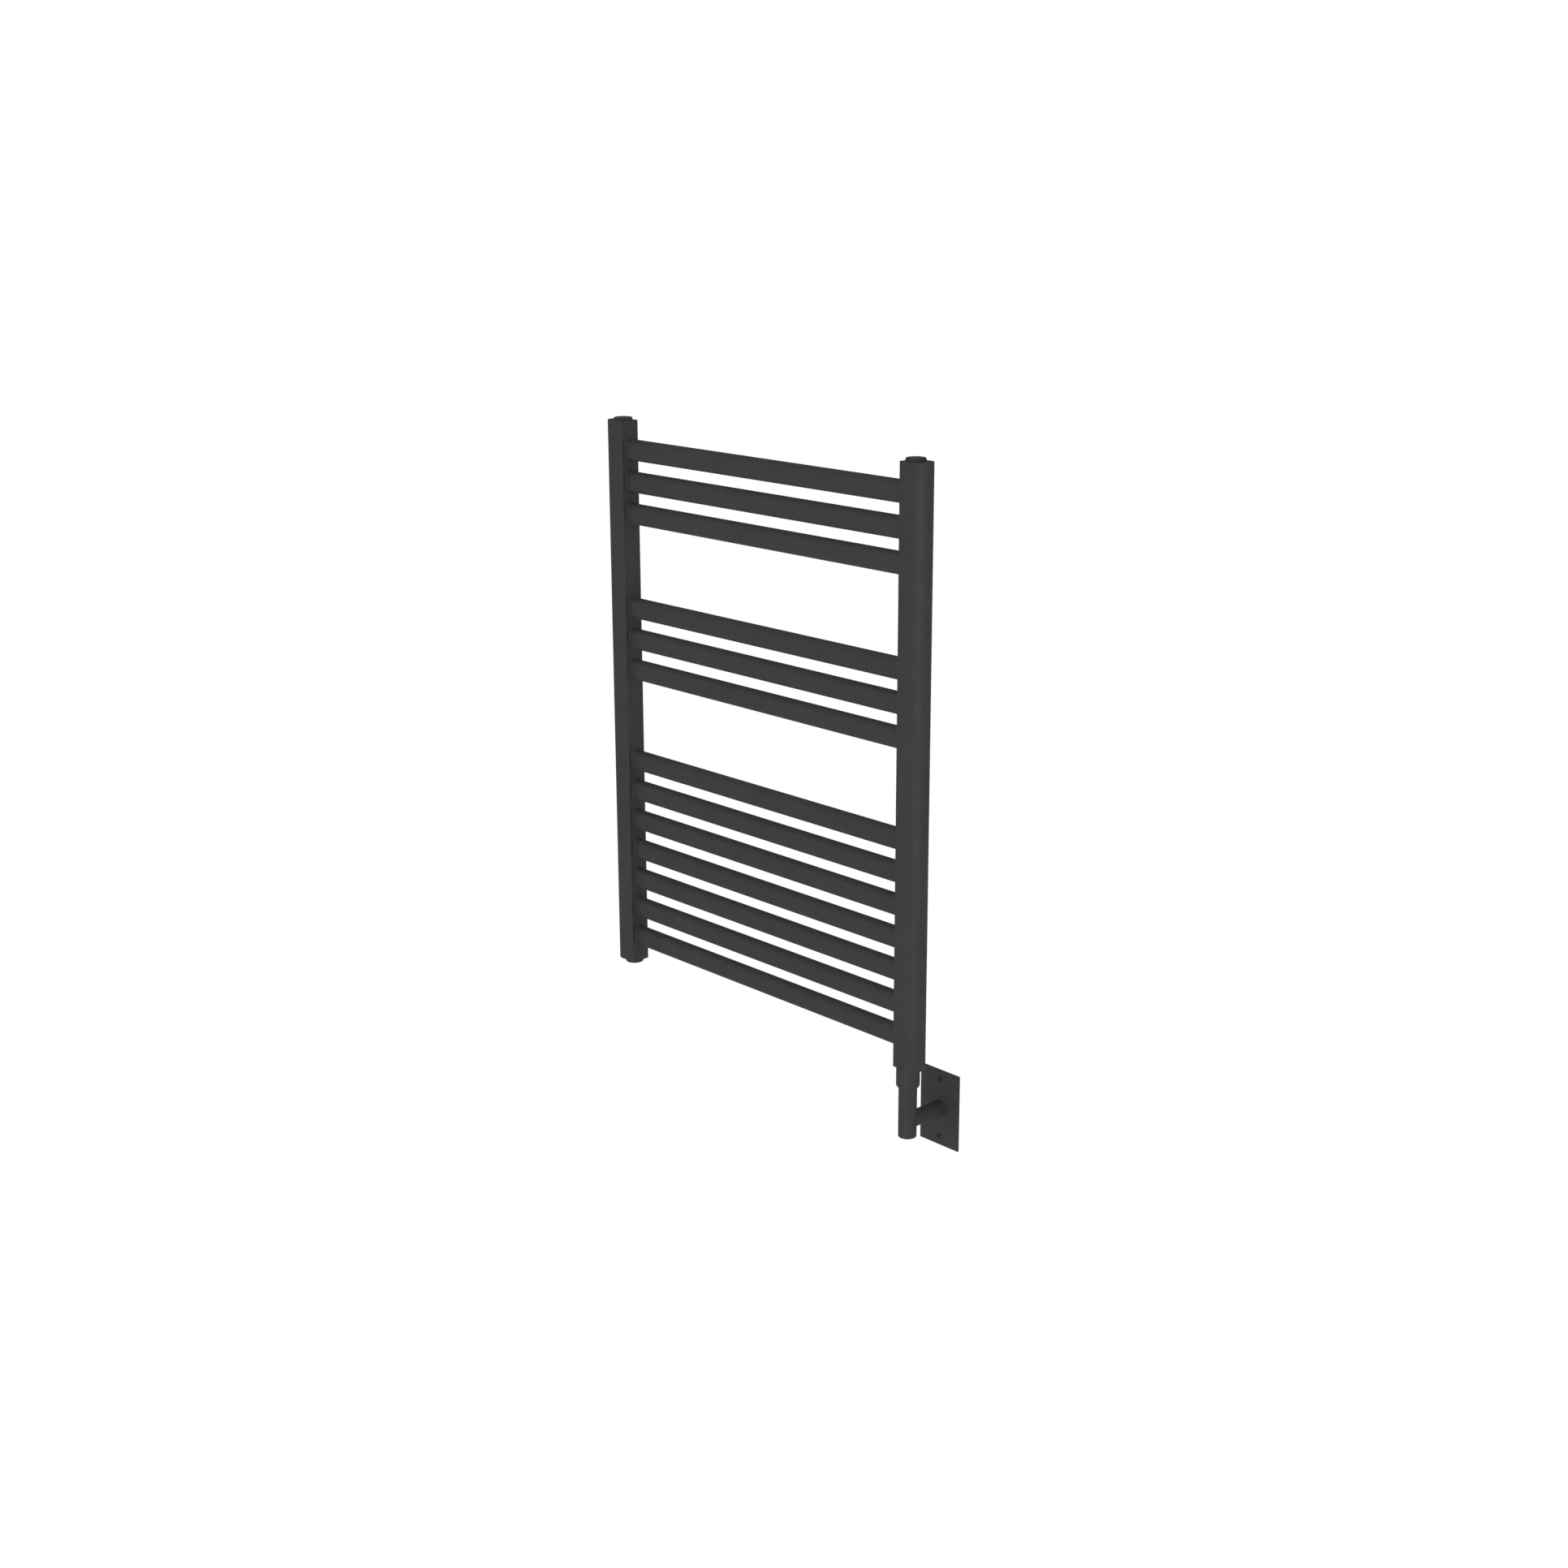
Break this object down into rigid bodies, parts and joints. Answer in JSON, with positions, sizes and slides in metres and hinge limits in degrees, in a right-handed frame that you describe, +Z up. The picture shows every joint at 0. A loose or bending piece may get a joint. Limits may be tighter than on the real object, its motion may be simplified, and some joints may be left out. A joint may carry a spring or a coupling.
{
  "type": "towel warmer rack",
  "caption": "Wall-mounted ladder towel warmer with D-section posts, flat-oval bars in three groups, and a turning tee with a branch to a sliding wall cover plate.",
  "frame": {"origin": "centre of the four threaded wall fixings, in the plane of the posts' back faces: midway between the posts and at half their height", "axes": "+X towards the post that holds the element (right, seen from the room), +Y towards the wall, +Z up"},
  "size_m": [0.6282, 0.0963, 0.936],
  "materials": {
    "frame_paint": "matte charcoal powder coat",
    "cap_paint": "matte charcoal, fine texture",
    "black_screw": "blackened zinc",
    "bare_steel": "zinc plated",
    "brass": "turned brass",
    "seal_rubber": "moulded rubber",
    "ceramic": "fired ceramic",
    "coil_wire": "oxidised resistance wire",
    "lead_jacket": "silicone lead insulation",
    "tinned_copper": "tinned"
  },
  "bodies": {
    "root": {"left_post": "frame_paint", "right_post": "frame_paint", "bar_01": "frame_paint", "bar_02": "frame_paint", "bar_03": "frame_paint", "bar_04": "frame_paint", "bar_05": "frame_paint", "bar_06": "frame_paint", "bar_07": "frame_paint", "bar_08": "frame_paint", "bar_09": "frame_paint", "bar_10": "frame_paint", "bar_11": "frame_paint", "bar_12": "frame_paint", "bar_13": "frame_paint", "left_top_bush": "frame_paint", "left_bottom_bush": "frame_paint", "right_top_bush": "frame_paint", "right_bottom_bush": "frame_paint", "collar": "frame_paint", "left_top_cap": "cap_paint", "left_bottom_cap": "cap_paint", "right_top_cap": "cap_paint", "bleed_screw": "bare_steel", "lock_screw": "bare_steel", "wall_inserts": "bare_steel", "element_sheath": "bare_steel", "left_top_plug": "brass", "left_bottom_plug": "brass", "right_top_plug": "brass", "element_head": "brass", "left_top_ring": "seal_rubber", "left_bottom_ring": "seal_rubber", "right_top_ring": "seal_rubber", "element_ring": "seal_rubber", "element_washer": "seal_rubber", "swivel_seal": "seal_rubber", "element_core": "ceramic", "thermal_cutout": "ceramic", "heating_coil": "coil_wire"},
    "tee": {"tee_body": "frame_paint", "tee_end_cap": "frame_paint", "branch_tube": "frame_paint", "snap_ring": "bare_steel", "leads": "lead_jacket", "lead_ferrules": "tinned_copper"},
    "plate": {"cover_plate": "frame_paint", "plate_gasket": "seal_rubber", "plate_grommet": "seal_rubber", "plate_screws": "black_screw"}
  },
  "joints": [
    {"name": "tee_swivel", "type": "hinge", "parent": "root", "child": "tee", "pos_m": [0.284, -0.015, -0.4785], "axis": [0, 0, 1], "range_deg": [-90, 90]},
    {"name": "plate_slide", "type": "slide", "parent": "tee", "child": "plate", "axis": [0, -1, 0], "range_m": [0, 0.04]}
  ]
}
